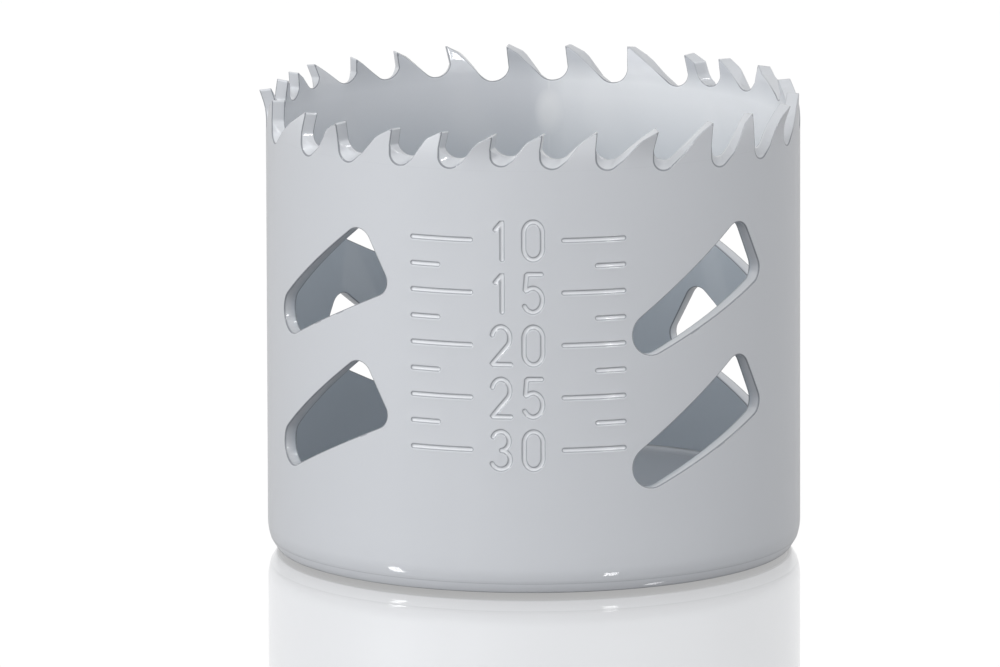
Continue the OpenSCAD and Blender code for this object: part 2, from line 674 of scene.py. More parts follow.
    def path(self, depth: float, inset: float) -> tuple[np.ndarray, ...]:
        """The whole cut edge at a depth, moved into the metal by an inset.

        The relief facets end a land's width behind the next cutting face.

        Args:
            depth: depth below the outer face.
            inset: how far the path is moved into the metal.

        Returns:
            Distance along the strip, height and lean of each point.
        """
        runs = [self.gullet(number, depth)
                for number in range(len(self.rhythm))]
        azimuth, height = (np.stack(part) for part in zip(*runs))
        following = np.append(azimuth[1:, 0], azimuth[0, 0] + TURN)
        ends = following - self.land_width / self.sizes.radius
        short = ends - azimuth[:, -1]
        moved = self.relief_points + 1
        azimuth[:, -moved:] += short[:, None] * np.linspace(0, 1, moved)
        flat = np.stack([azimuth.reshape(-1) * self.sizes.radius,
                         height.reshape(-1)], -1)
        turn = (self.sizes.around, 0)
        longer = np.vstack([flat[-1] - turn, flat, flat[0] + turn])
        along, height = inward(longer, inset)[1:-1].T
        return along, height, self.tooth_at(along, depth)

    def edge_weight(self, number: np.ndarray) -> np.ndarray:
        """How strong the painted edge shade is at each point of the cut edge.

        It is 1 along the cutting face and the round floor, and a third along
        the back slope and the relief facet.

        Args:
            number: number of the point along the path.

        Returns:
            The weight of each point.
        """
        place = np.mod(number, self.run_points)
        return np.interp(place, [self.worn_until, self.thin_from],
                         [1, self.thin_share])

    def tooth_at(self, along: np.ndarray, depth: float) -> np.ndarray:
        """Lean of the tooth that each place along the strip belongs to.

        It changes from one tooth's to the next's across the gullet floor.

        Args:
            along: distance along the strip.
            depth: depth below the outer face.

        Returns:
            The lean at each place.
        """
        radius, count = self.sizes.radius, len(self.rhythm)
        floors = self.azimuths() + (self.floor_ahead
                                    + self.floor_skew * depth) / radius
        bounds = np.append(floors - floors[0], TURN)
        turned = np.mod(along / radius - floors[0], TURN)
        number = np.searchsorted(bounds, turned, "right")
        before = turned - bounds[number - 1]
        after = bounds[np.minimum(number, count)] - turned
        share = 0.5 + 0.5 * np.clip(np.minimum(before, after) * radius
                                    / self.floor_blend, 0, 1)
        other = np.where(before < after, number - 1, number + 1)
        leans = self.leans()
        return (share * leans[number % count]
                + (1 - share) * leans[other % count])


def spread(count: int, pinch: float) -> np.ndarray:
    """Steps from 0 to 1 that crowd towards both ends.

    Each is a blend of an even step and half of one minus the cosine of pi
    times it.

    Args:
        count: how many steps.
        pinch: share of the crowded step, from 0 to 1.

    Returns:
        The steps.
    """
    even = np.linspace(0, 1, count)
    return (1 - pinch) * even + pinch * (1 - np.cos(math.pi * even)) / 2


@dataclass
class ChipSlots:
    """Slots with three round corners, two rows of them on four sides."""

    sizes: StripSizes
    corners: tuple[tuple[float, float, float], ...] = (
        (-5.845, 2.0, 2.02), (4.425, 9.9, 1.61), (6.445, 6.7, 1.42))
    low: float = 9.75
    row_rise: float = 12.7
    arc_points: int = 16
    side_points: int = 12

    def outline(self, inset: float) -> np.ndarray:
        """Closed outline of one slot, grown into the metal by an inset.

        It is the tight loop round three circles: an arc on each between the
        two tangents that lead to its neighbours. The loop runs clockwise, so
        that the metal is on its left.

        Args:
            inset: how far the outline is moved into the metal.

        Returns:
            Points of distance along the strip and height.
        """
        spots = (self.corners[0], self.corners[2], self.corners[1])
        tangents = []
        for here, there in zip(spots, spots[1:] + spots[:1]):
            step = np.subtract(there[:2], here[:2])
            tangents.append(math.atan2(step[1], step[0])
                            - math.acos((here[2] - there[2])
                                        / math.hypot(step[0], step[1])))
        loop = []
        for number, spot in enumerate(spots):
            start, stop = tangents[number - 1], tangents[number]
            turn = start + ((stop - start) % TURN) * np.linspace(
                0, 1, self.arc_points)
            loop.append(np.array(spot[:2]) + (spot[2] + inset) * np.stack(
                [np.cos(turn), np.sin(turn)], -1))
            following = spots[(number + 1) % 3]
            leave = loop[-1][-1]
            way = np.array([math.cos(stop), math.sin(stop)])
            arrive = np.array(following[:2]) + (following[2] + inset) * way
            share = spread(self.side_points + 2, 0.3)[1:-1, None]
            loop.append(leave + share * (arrive - leave))
        return np.vstack(loop)

    def places(self) -> list[np.ndarray]:
        """Lists where the slots stand.

        Returns:
            Distance along the strip and height of every slot's zero point.
        """
        quarter = TURN / 4 * self.sizes.radius
        return [np.array([quarter * side, self.low + self.row_rise * row])
                for side in (-1, 0, 1, 2) for row in (0, 1)]


@dataclass
class DepthScale:
    """Plain stamped scale of depths below the teeth.

    It has a number and a line on each side at every depth, and a short line
    halfway between. The line sizes are the starts of a long and of a short
    line and the end of both, measured from the scale's middle.
    """

    sizes: StripSizes
    azimuth: float = -42.8
    depths: tuple[int, ...] = (10, 15, 20, 25, 30)
    tall: float = 3.6
    wide: float = 2.1
    step: float = 3.05
    floor: float = 0.1
    lip: float = 0.25
    cut: float = 0.13
    raised: float = 0.018
    raised_at: float = 0.04
    raised_run: float = 0.07
    clear: float = 0.6
    line: tuple[float, float, float] = (4.4, 7.6, 10.2)

    @property
    def reaches(self) -> tuple[float, ...]:
        """Lists the distances from a stroke's middle that triangles follow.

        Returns:
            The floor's edge, halfway up, the lip and just past it.
        """
        return (self.floor, (self.floor + self.lip) / 2, self.lip,
                self.lip + 0.1)

    def digit(self, mark: str) -> list[np.ndarray]:
        """Strokes of one digit in a box one wide and one tall, centred.

        Args:
            mark: the digit.

        Returns:
            Paths of points, each one stroke.
        """
        def arc(x: float, y: float, wide: float, tall: float, start: float,
                stop: float) -> np.ndarray:
            """Draws an arc of an ellipse.

            Args:
                x: its middle across the box.
                y: its middle up the box.
                wide: half of its width.
                tall: half of its height.
                start: direction of its first point, in degrees.
                stop: direction of its last point, in degrees.

            Returns:
                The arc's points.
            """
            turn = np.radians(np.linspace(start, stop, 28))
            return np.stack([x + wide * np.cos(turn), y + tall * np.sin(turn)],
                            -1)

        strokes = {
            "0": [np.vstack([arc(0, 0.2, 0.42, 0.3, 0, 180),
                             arc(0, -0.2, 0.42, 0.3, 180, 360),
                             [[0.42, 0.2]]])],
            "1": [np.array([[-0.25, 0.28], [0.06, 0.5], [0.06, -0.5]])],
            "2": [np.vstack([arc(0, 0.2, 0.4, 0.3, 165, -35),
                             [[-0.42, -0.5], [0.44, -0.5]]])],
            "3": [arc(-0.02, 0.25, 0.38, 0.25, 155, -85),
                  arc(-0.02, -0.25, 0.43, 0.25, 85, -155)],
            "5": [np.vstack([[[0.36, 0.5], [-0.3, 0.5], [-0.36, 0.06]],
                             arc(-0.02, -0.18, 0.43, 0.32, 128, -150)])],
        }
        return strokes[mark]

    def strokes(self) -> list[np.ndarray]:
        """Lists all strokes on the flat strip.

        Returns:
            Paths of evenly spaced points.
        """
        found = []
        for number, depth in enumerate(self.depths):
            level = self.sizes.height - depth
            for place, mark in enumerate(str(depth)):
                for stroke in self.digit(mark):
                    found.append(stroke * (self.wide, self.tall)
                                 + ((place - 0.5) * self.step, level))
            start, start_short, stop = self.line
            halfway = level + 2.5
            for side in (-1, 1):
                found.append(np.array([[side * start, level],
                                       [side * stop, level]]))
                if number:
                    found.append(np.array([[side * start_short, halfway],
                                           [side * stop, halfway]]))
        middle = math.radians(self.azimuth) * self.sizes.radius
        return [self.even(stroke) + (middle, 0) for stroke in found]

    @staticmethod
    def even(path: np.ndarray, gap: float = 0.13) -> np.ndarray:
        """Points along a stroke at about equal steps.

        Args:
            path: points of the stroke.
            gap: length of the step.

        Returns:
            The new points.
        """
        length = np.linalg.norm(np.diff(path, axis=0), axis=1).sum()
        return resample(path, max(3, round(length / gap)))

    def guides(self) -> np.ndarray:
        """Lists points that follow each stroke, for the triangles.

        Returns:
            Points on each stroke's middle, along both its sides and round its
            ends.
        """
        rows = []
        for stroke in self.strokes():
            ahead = np.gradient(stroke, axis=0)
            ahead /= np.linalg.norm(ahead, axis=1, keepdims=True)
            across = np.stack([-ahead[:, 1], ahead[:, 0]], -1)
            for reach in (0, *self.reaches):
                for side in (-1, 1) if reach else (1,):
                    rows.append(stroke + side * reach * across)
            for end, way in ((0, -1), (-1, 1)):
                turn = np.linspace(-1.2, 1.2, 5)
                for reach in self.reaches:
                    rows.append(stroke[end] + reach * (
                        np.cos(turn)[:, None] * way * ahead[end]
                        + np.sin(turn)[:, None] * across[end]))
        return np.vstack(rows)

    def gap_at(self, flat: np.ndarray) -> np.ndarray:
        """Distance of each flat point from the nearest stroke's middle.

        Args:
            flat: points of distance along the strip and height.

        Returns:
            The distance, or a far one where no stroke is near.
        """
        gap = np.full(len(flat), FAR)
        for stroke in self.strokes():
            low, high = stroke.min(0) - self.clear, stroke.max(0) + self.clear
            near = np.flatnonzero(((flat > low) & (flat < high)).all(1))
            if len(near):
                gap[near] = np.minimum(gap[near],
                                       distance_to(flat[near], stroke, False))
        return gap

    def depth_at(self, gap: np.ndarray) -> np.ndarray:
        """Depth of the stamped strokes at a distance from their middle.

        It is the full cut on the stroke's floor, falls smoothly to nothing at
        the lip, and is a little negative past it, where the metal is raised.

        Args:
            gap: distance from the nearest stroke's middle.

        Returns:
            The depth below the outer face.
        """
        fall = np.clip((gap - self.floor) / (self.lip - self.floor), 0, 1)
        raised = self.raised * np.exp(-(
            (gap - self.lip - self.raised_at) / self.raised_run) ** 2)
        return self.cut * (1 - fall * fall * (3 - 2 * fall)) - raised


@dataclass
class ButtWeld:
    """Ground butt weld that closes the strip: a low bead on both faces.

    The bead fades out at either end, and closer points lie along it.
    """

    sizes: StripSizes
    azimuth: float = 137.3
    rise: float = 0.035
    run: float = 0.9
    ends: tuple[float, float] = (2.6, 39.3)
    fade: float = 3.0
    unevenness: float = 0.25
    ripples: tuple[float, float] = (1.9, 0.7)
    close_half: float = 2.0
    close_columns: int = 13
    close_step: float = 0.8
    close_top: float = 40.5
    clear: float = 2.3

    @property
    def middle(self) -> float:
        """Works out where the weld stands.

        Returns:
            The distance along the strip.
        """
        return math.radians(self.azimuth) * self.sizes.radius

    def height_at(self, flat: np.ndarray) -> np.ndarray:
        """How far the bead stands out of either face.

        It is a low bell curve across the weld, a little uneven along it.

        Args:
            flat: points of distance along the strip and height.

        Returns:
            The height of the bead at each point.
        """
        around = self.sizes.around
        along, height = flat.T
        away = np.mod(along - self.middle + around / 2, around) - around / 2
        low, high = self.ends
        quick, slow = self.ripples
        ripple = 1 + (self.unevenness * np.sin(height * quick)
                      * np.sin(height * slow))
        fade = np.clip(np.minimum(high - height, height - low) / self.fade,
                       0, 1)
        return self.rise * ripple * fade * np.exp(-(away / self.run) ** 2)

    def crowd(self, grid: np.ndarray, start: float) -> np.ndarray:
        """Puts closer points along the weld in place of a grid's own.

        Args:
            grid: points of distance along the strip and height.
            start: distance along the strip at which the face begins.

        Returns:
            The points, with the closer ones last.
        """
        around = self.sizes.around
        middle = self.middle + around * round(
            (start + around / 2 - self.middle) / around)
        columns = middle + np.linspace(-self.close_half, self.close_half,
                                       self.close_columns)
        rows = np.arange(self.sizes.edge_height + self.close_step,
                         self.close_top, self.close_step)
        close = np.stack(np.meshgrid(columns, rows), -1).reshape(-1, 2)
        kept = grid[np.abs(grid[:, 0] - middle) > self.clear]
        return np.vstack([kept, close])


@dataclass
class RolledStrip:
    """The strip as one closed piece: two faces, cut edges and lower edge."""

    sizes: StripSizes = field(default_factory=StripSizes)
    columns: int = 180
    arc_points: int = 8
    side_points: int = 30
    tooth_rows: int = 8
    slot_rows: int = 1
    band: float = 1.05
    foot_radius: float = 24.52
    # Edge tones of the lower band: painted shade on its step and its foot.
    band_tones: tuple[float, ...] = (0.5, 0.1, -1.5, 0.2, 0.9)
    grid_step: float = 1.25
    cut_back: int = 3
    near_edge: float = 0.16
    near_least: float = 0.1
    near_skip: int = 8
    rim_tall: float = 5.5

    def __post_init__(self) -> None:
        """Makes the parts that shape the strip."""
        self.sheet = RolledSheet(self.sizes)
        self.edge = ToothEdge(self.sizes)
        self.slots = ChipSlots(self.sizes)
        self.scale = DepthScale(self.sizes)
        self.weld = ButtWeld(self.sizes)

    def levels(self, middle: int) -> list[tuple[float, float]]:
        """Depth and inset of each row of a cut edge, with rounded corners.

        Args:
            middle: how many rows stand between the two roundings.

        Returns:
            Pairs of depth and inset, from the outer face to the inner.
        """
        radius, thick = self.sizes.rounding, self.sizes.thick
        turn = np.linspace(0, math.pi / 2, 4)
        outer = [(radius * (1 - math.cos(a)), radius * (1 - math.sin(a)))
                 for a in turn]
        flat = [(depth, 0.0) for depth in
                np.linspace(radius, thick - radius, middle + 2)[1:-1]]
        inner = [(thick - depth, inset) for depth, inset in outer[::-1]]
        return outer + flat + inner

    def first_column(self) -> float:
        """Works out where the faces are cut open.

        Returns:
            The distance along the strip.
        """
        along = self.edge.path(0.0, self.sizes.rounding)[0]
        return along[-self.cut_back] - self.sizes.around

    def teeth_line(self, depth: float, inset: float) -> np.ndarray:
        """Carries the whole tooth edge once round, from the cut to the cut.

        Args:
            depth: depth below the outer face.
            inset: how far the line is moved into the metal.

        Returns:
            Points of distance along the strip and height.
        """
        flat = np.stack(self.edge.path(depth, inset)[:2], -1)
        cut = len(flat) - self.cut_back
        return np.vstack([flat[cut:] - (self.sizes.around, 0), flat[:cut + 1]])

    def outline(self, teeth: np.ndarray) -> np.ndarray:
        """Draws the closed outline of a face.

        It follows the teeth, goes down the cut, back along the lower border
        and up the cut again.

        Args:
            teeth: the tooth edge, from the cut to the cut.

        Returns:
            Points of distance along the strip and height.
        """
        low, around = self.sizes.edge_height, self.sizes.around
        foot = (np.arange(self.columns + 1) / self.columns * around
                + self.first_column())
        corner = np.array([foot[0], low])
        share = np.linspace(0, 1, self.side_points)[1:-1, None]
        side = corner + share * (teeth[0] - corner)
        border = np.stack([foot[::-1], np.full(len(foot), low)], -1)
        return np.vstack([teeth, side[::-1] + (around, 0), border, side])

    def holes(self, teeth: np.ndarray, inset: float) -> list[np.ndarray]:
        """Draws the slots where they fall between the face's two ends.

        Args:
            teeth: the tooth edge, from the cut to the cut.
            inset: how far the outlines are moved into the metal.

        Returns:
            The closed outline of each slot.
        """
        around, found = self.sizes.around, []
        for place in self.slots.places():
            hole = self.slots.outline(inset) + place
            turns = round((teeth[0, 0] + around / 2 - hole[:, 0].mean())
                          / around)
            found.append(hole + (turns * around, 0))
        return found

    def fill_points(self, outline: np.ndarray, teeth: np.ndarray,
                    holes: list[np.ndarray], side: Face) -> np.ndarray:
        """Lists the points that a face's triangles go through.

        They are a staggered grid, a closer one along the butt weld, rows that
        follow the stamped strokes on the outer face, and a row just inside
        each slot and the tooth edge.

        Args:
            outline: the face's outline.
            teeth: the tooth edge, from the cut to the cut.
            holes: outlines of the slots.
            side: which face.

        Returns:
            Points of distance along the strip and height.
        """
        start, stop, step = teeth[0, 0], teeth[-1, 0], self.grid_step
        grid = np.stack(np.meshgrid(
            np.arange(start + step, stop, step),
            np.arange(self.sizes.edge_height + step, self.sizes.height,
                      step)), -1)
        grid[1::2, :, 0] += step / 2
        grid = self.weld.crowd(grid.reshape(-1, 2), start)
        marks = np.zeros((0, 2))
        if side is Face.OUTER:
            marks = self.scale.guides()
            grid = grid[self.scale.gap_at(grid) > self.scale.clear]
        grid = well_inside(grid, outline, holes)
        near_holes = [inward(hole[::-1], -self.near_edge)[::-1]
                      for hole in holes]
        skip = self.near_skip
        near_teeth = inward(teeth, self.near_edge)[skip:-skip]
        apart = distance_to(near_teeth, outline, True) > self.near_least
        return np.vstack([grid, marks, *near_holes, near_teeth[apart]])

    def face_tones(self, flat: np.ndarray, teeth: np.ndarray,
                   holes: list[np.ndarray], away: np.ndarray,
                   side: Face) -> np.ndarray:
        """Works out the tones of a face's points.

        Args:
            flat: points of distance along the strip and height.
            teeth: the tooth edge, from the cut to the cut.
            holes: outlines of the slots.
            away: distance of each point from the nearest stroke's middle.
            side: which face.

        Returns:
            Three tones for each point.
        """
        gap = np.min([distance_to(flat, teeth, False)]
                     + [distance_to(flat, hole, True) for hole in holes], 0)
        # The edge tone carries painted shade along the teeth and slots,
        # strongest on the cutting faces.
        weight = np.ones(len(flat))
        rim = np.flatnonzero((gap < self.sizes.rounding / 3)
                             & (flat[:, 1]
                                > self.sizes.height - self.rim_tall))
        weight[rim] = self.edge.edge_weight(
            nearest(flat[rim], teeth) - self.cut_back)
        return np.stack([
            np.maximum(weight - gap / EDGE_REACH, BARE[0]),
            np.full(len(flat), float(side is Face.INNER)),
            np.clip(1 - away / STROKE_REACH, 0, 1)], -1)

    def add_face(self, blank: Blank, side: Face) -> None:
        """Adds the outer or inner face, between all its outlines.

        Args:
            blank: the piece's patches.
            side: which face.
        """
        outer = side is Face.OUTER
        depth, inset = self.levels(0)[0 if outer else -1]
        teeth = self.teeth_line(depth, inset)
        outline, holes = self.outline(teeth), self.holes(teeth, inset)
        flat, faces = triangulate(outline, holes, self.fill_points(
            outline, teeth, holes, side))
        away = np.full(len(flat), FAR)
        below = depth + self.weld.height_at(flat)
        if outer:
            away = self.scale.gap_at(flat)
            below = self.scale.depth_at(away) - self.weld.height_at(flat)
        lean = self.edge.tooth_at(flat[:, 0], depth)
        blank.add(self.sheet.place(flat[:, 0], flat[:, 1], below, lean), faces,
                  self.face_tones(flat, teeth, holes, away, side))

    def add_cut_edges(self, blank: Blank) -> None:
        """Adds the teeth's cut edge and the slots' walls.

        Each is the cut's path carried through the thickness, with its corners
        rounded at both faces.

        Args:
            blank: the piece's patches.
        """
        levels = self.levels(self.tooth_rows)
        rows = []
        for depth, inset in levels:
            along, height, lean = self.edge.path(depth, inset)
            rows.append(self.sheet.place(along, height, depth, lean))
        tones = np.repeat(self.level_tones(levels)[:, None], len(along), 1)
        # Painted shade along the teeth's cut edge, weaker on the back slopes
        # and relief facets.
        tones[..., 0] += self.edge.edge_weight(np.arange(len(along))) - 1
        blank.add_grid(np.stack(rows), tones)
        levels = self.levels(self.slot_rows)
        for place in self.slots.places():
            rows = []
            for depth, inset in levels:
                flat = self.slots.outline(inset) + place
                rows.append(self.sheet.place(*flat.T, depth, 0.0))
            blank.add_grid(np.stack(rows), self.level_tones(levels))

    def level_tones(self, levels: list[tuple[float, float]]) -> np.ndarray:
        """Tones of the rows of a cut edge.

        The edge tone is 1 on both roundings, and the inside tone rises over
        the last quarter of the depth.

        Args:
            levels: depth and inset of each row.

        Returns:
            Three tones for each row.
        """
        depth, thick = np.array(levels)[:, 0], self.sizes.thick
        away = np.minimum(depth, thick - depth) - self.sizes.rounding
        # Painted shade on both roundings.
        edge = np.clip(1 - away / EDGE_REACH, BARE[0], 1)
        inside = np.clip((depth / thick - 0.75) / 0.25, 0, 1)
        return np.stack([edge, inside, np.zeros(len(levels))], -1)

    def lower_profile(self) -> np.ndarray:
        """Section of the lower edge, from the outer face round to the inner.

        The outside is an arc that draws the edge in towards the base, a small
        step, a steeper band, a rounding, the foot and the inner face.

        Returns:
            Points of radius and height.
        """
        size = self.sizes
        last = math.asin((size.edge_height - self.band) / size.edge_radius)
        turn = np.linspace(0, last, self.arc_points)
        outside = np.stack([
            size.radius - size.edge_radius * (1 - np.cos(turn)),
            size.edge_height - size.edge_radius * np.sin(turn)], -1)
        inner, foot = size.inner_radius, self.foot_radius
        rest = np.array([
            [outside[-1, 0] - 0.035, self.band - 0.05],
            [outside[-1, 0] - 0.04, self.band - 0.12],
            [foot + 0.08, 0.16], [foot + 0.02, 0.07], [foot - 0.05, 0.02],
            [foot - 0.12, 0.0], [inner + 0.1, 0.0], [inner + 0.03, 0.03],
            [inner, 0.1], [inner, 1.2], [inner, size.edge_height]])
        return np.vstack([outside, rest])

    def add_lower_edge(self, blank: Blank) -> None:
        """Adds the lower edge: its section turned round the axis.

        Args:
            blank: the piece's patches.
        """
        azimuth = (self.first_column() / self.sizes.radius
                   + np.arange(self.columns) / self.columns * TURN)
        profile = self.lower_profile()
        tones = np.tile(BARE, (len(profile), 1))
        first = self.arc_points
        # Painted shade on the step, the band and the foot of the lower edge,
        # through the edge tone.
        tones[first:first + len(self.band_tones), 0] = self.band_tones
        tones[:, 1] = profile[:, 0] <= self.sizes.inner_radius + 1e-6
        blank.add_grid(turned(profile, azimuth), tones)

    def build(self) -> bpy.types.Object:
        """Builds the strip.

        Returns:
            The finished piece.
        """
        blank = Blank()
        self.add_face(blank, Face.OUTER)
        self.add_face(blank, Face.INNER)
        self.add_cut_edges(blank)
        self.add_lower_edge(blank)
        return blank.build("rolled_strip")


def turned(profile: np.ndarray, azimuth: np.ndarray) -> np.ndarray:
    """Turns a section round the axis.

    Each point is the radius times the cosine and sine of the azimuth, and the
    height.

    Args:
        profile: points of radius and height.
        azimuth: directions in radians.

    Returns:
        Points of profile by azimuth by three.
    """
    radius, height = profile[:, :1], profile[:, 1:]
    return np.stack([radius * np.cos(azimuth), radius * np.sin(azimuth),
                     height * np.ones_like(azimuth)], -1)


@dataclass
class BasePlate:
    """Base plate with a cut arbor thread and four drive pin holes."""

    radius: float = 24.15
    thick: float = 4.76
    thread_major: float = 7.9375
    thread_minor: float = 7.3
    thread_rise: float = 1.4111
    thread_flat: float = 0.125
    root_gap: float = 0.03
    mouth_gap: float = 0.12
    pin_radius: float = 3.25
    pin_circle: float = 12.4
    chamfer: float = 0.25
    pins: int = 4
    around: int = 180
    bore_columns: int = 144
    bore_rows: int = 78
    pin_columns: int = 48
    grid_half: float = 24.0
    grid_step: float = 1.6

    def thread(self) -> np.ndarray:
        """Surface of the threaded bore, as a function of azimuth and height.

        The groove is a triangle wave of the height less the rise times the
        turns, cut flat at its crest and root. The radius is the greater of the
        wave and the chamfer cone at either mouth.

        Returns:
            Points of height by azimuth by three.
        """
        azimuth = np.arange(self.bore_columns) / self.bore_columns * TURN
        height = np.linspace(0, self.thick, self.bore_rows)[:, None]
        phase = np.mod(height / self.thread_rise - azimuth / TURN, 1)
        wave = 2 * np.abs(phase - 0.5)
        tooth = np.clip((wave - self.thread_flat)
                        / (1 - 2 * self.thread_flat), 0, 1)
        radius = self.thread_minor + (self.thread_major - self.root_gap
                                      - self.thread_minor) * tooth
        mouth = self.thread_major + self.mouth_gap
        cone = mouth - np.minimum(height, self.thick - height)
        radius = np.maximum(radius, cone)
        return np.stack([radius * np.cos(azimuth), radius * np.sin(azimuth),
                         height * np.ones_like(azimuth)], -1)

    def pin_hole(self, side: int) -> np.ndarray:
        """Wall of one drive pin hole with a small chamfer at each mouth.

        Args:
            side: number of the hole, from 0.

        Returns:
            Points of height by azimuth by three.
        """
        turn = np.arange(self.pin_columns) / self.pin_columns * TURN
        soft = self.chamfer
        section = np.array([[soft, 0], [soft * 0.3, soft * 0.3], [0, soft],
                            [0, self.thick / 2], [0, self.thick - soft],
                            [soft * 0.3, self.thick - soft * 0.3],
                            [soft, self.thick]])
        section[:, 0] += self.pin_radius
        centre = (side + 0.5) * TURN / self.pins
        wall = turned(section, turn)
        wall[..., 0] += self.pin_circle * math.cos(centre)
        wall[..., 1] += self.pin_circle * math.sin(centre)
        return wall

    def rim(self) -> np.ndarray:
        """Section of the rim: weld groove below, welded fillet above.

        Returns:
            Points of radius and height, from the lower face to the upper.
        """
        edge = self.radius
        return np.array([
            [edge - 0.75, 0.0], [edge - 0.6, 0.02], [edge - 0.45, 0.08],
            [edge - 0.3, 0.12], [edge - 0.12, 0.1], [edge, 0.1],
            [edge, self.thick / 2], [edge, self.thick + 0.5],
            [edge - 0.08, self.thick + 0.3], [edge - 0.25, self.thick + 0.12],
            [edge - 0.5, self.thick + 0.03], [edge - 0.8, self.thick]])

    def add_faces(self, blank: Blank) -> None:
        """Adds the flat lower and upper faces, between their outlines.

        Args:
            blank: the piece's patches.
        """
        azimuth = np.arange(self.around) / self.around * TURN
        thread, profile = self.thread(), self.rim()
        steps = np.arange(-self.grid_half, self.grid_half + 0.1,
                          self.grid_step)
        grid = np.stack(np.meshgrid(steps, steps), -1).reshape(-1, 2)
        for row, height in ((0, 0.0), (-1, self.thick)):
            edge = profile[row, 0] * np.stack([np.cos(azimuth),
                                               np.sin(azimuth)], -1)
            holes = [thread[row, :, :2]]
            holes += [self.pin_hole(side)[row, :, :2]
                      for side in range(self.pins)]
            flat, faces = triangulate(edge, holes,
                                      well_inside(grid, edge, holes))
            level = np.full((len(flat), 1), height)
            blank.add(np.hstack([flat, level]), faces)

    def build(self) -> bpy.types.Object:
        """Builds the base plate.

        Returns:
            The finished piece.
        """
        blank = Blank()
        self.add_faces(blank)
        blank.add_grid(self.thread())
        for side in range(self.pins):
            blank.add_grid(self.pin_hole(side))
        azimuth = np.arange(self.around) / self.around * TURN
        blank.add_grid(turned(self.rim(), azimuth))
        return blank.build("base_plate")


class Wire:
    """One value in a material: a socket that takes part in plain maths."""

    def __init__(self, tree: bpy.types.NodeTree, socket: object) -> None:
        """Keeps the tree and the socket.

        Args:
            tree: the material's or the world's nodes.
            socket: output that the value comes from, or None to start with.
        """
        self.tree, self.socket = tree, socket

    def node(self, kind: str, sockets: dict | None = None,
             **settings: object) -> bpy.types.Node:
        """Adds any node.

        Args:
            kind: the node's type.
            sockets: value or wire for each input, by name or number.
            settings: properties of the node, set before its sockets.

        Returns:
            The node.
        """
        made = self.tree.nodes.new(kind)
        for name, value in settings.items():
            setattr(made, name, value)
        for key, value in (sockets or {}).items():
            target = made.inputs[key]
            if isinstance(value, Wire):
                self.tree.links.new(value.socket, target)
            else:
                target.default_value = value
        return made

    def out(self, node: bpy.types.Node, name: str | int = 0) -> "Wire":
        """Wraps an output of a node.

        Args:
            node: the node.
            name: name or number of its output.

        Returns:
            The output as a wire.
        """
        return Wire(self.tree, node.outputs[name])

    def maths(self, operation: str, *values: object) -> "Wire":
        """Adds a Math node.

        Args:
            operation: the node's operation.
            values: a wire or number for each input.

        Returns:
            The result.
        """
        sockets = dict(enumerate(values))
        return self.out(self.node("ShaderNodeMath", sockets,
                                  operation=operation))

    def __add__(self, other: object) -> "Wire":
        """Adds two values.

        Args:
            other: wire or number.

        Returns:
            The sum.
        """
        return self.maths("ADD", self, other)

    __radd__ = __add__

    def __sub__(self, other: object) -> "Wire":
        """Takes a value from this one.

        Args:
            other: wire or number.

        Returns:
            The difference.
        """
        return self.maths("SUBTRACT", self, other)

    def __rsub__(self, other: object) -> "Wire":
        """Takes this value from a number.

        Args:
            other: the number.

        Returns:
            The difference.
        """
        return self.maths("SUBTRACT", other, self)

    def __mul__(self, other: object) -> "Wire":
        """Multiplies two values.

        Args:
            other: wire or number.

        Returns:
            The product.
        """
        return self.maths("MULTIPLY", self, other)

    __rmul__ = __mul__

    def __truediv__(self, other: object) -> "Wire":
        """Divides this value by another.

        Args:
            other: wire or number.

        Returns:
            The quotient.
        """
        return self.maths("DIVIDE", self, other)

    def clamp(self) -> "Wire":
        """Holds the value between 0 and 1.

        Returns:
            The held value.
        """
        return self.maths("MINIMUM", self.maths("MAXIMUM", self, 0.0), 1.0)

    def squared(self) -> "Wire":
        """Multiplies the value by itself.

        Returns:
            The square.
        """
        return self.maths("POWER", self, 2.0)

    def size(self) -> "Wire":
        """Drops the value's sign.

        Returns:
            The value without its sign.
        """
        return self.maths("ABSOLUTE", self)

    def blend(self, low: object, high: object) -> "Wire":
        """Mixes two colours by this value.

        Args:
            low: colour or wire where the value is 0.
            high: colour or wire where it is 1.

        Returns:
            The mixed colour.
        """
        made = self.node("ShaderNodeMix", {0: self, 6: low, 7: high},
                         data_type="RGBA")
        return self.out(made, 2)


def new_material(name: str) -> tuple[bpy.types.Material, Wire]:
    """Makes an empty node material.

    Args:
        name: its name.

    Returns:
        The material and a wire that starts its maths.
    """
    material = bpy.data.materials.new(name)
    material.use_nodes = True
    material.node_tree.nodes.clear()
    return material, Wire(material.node_tree, None)


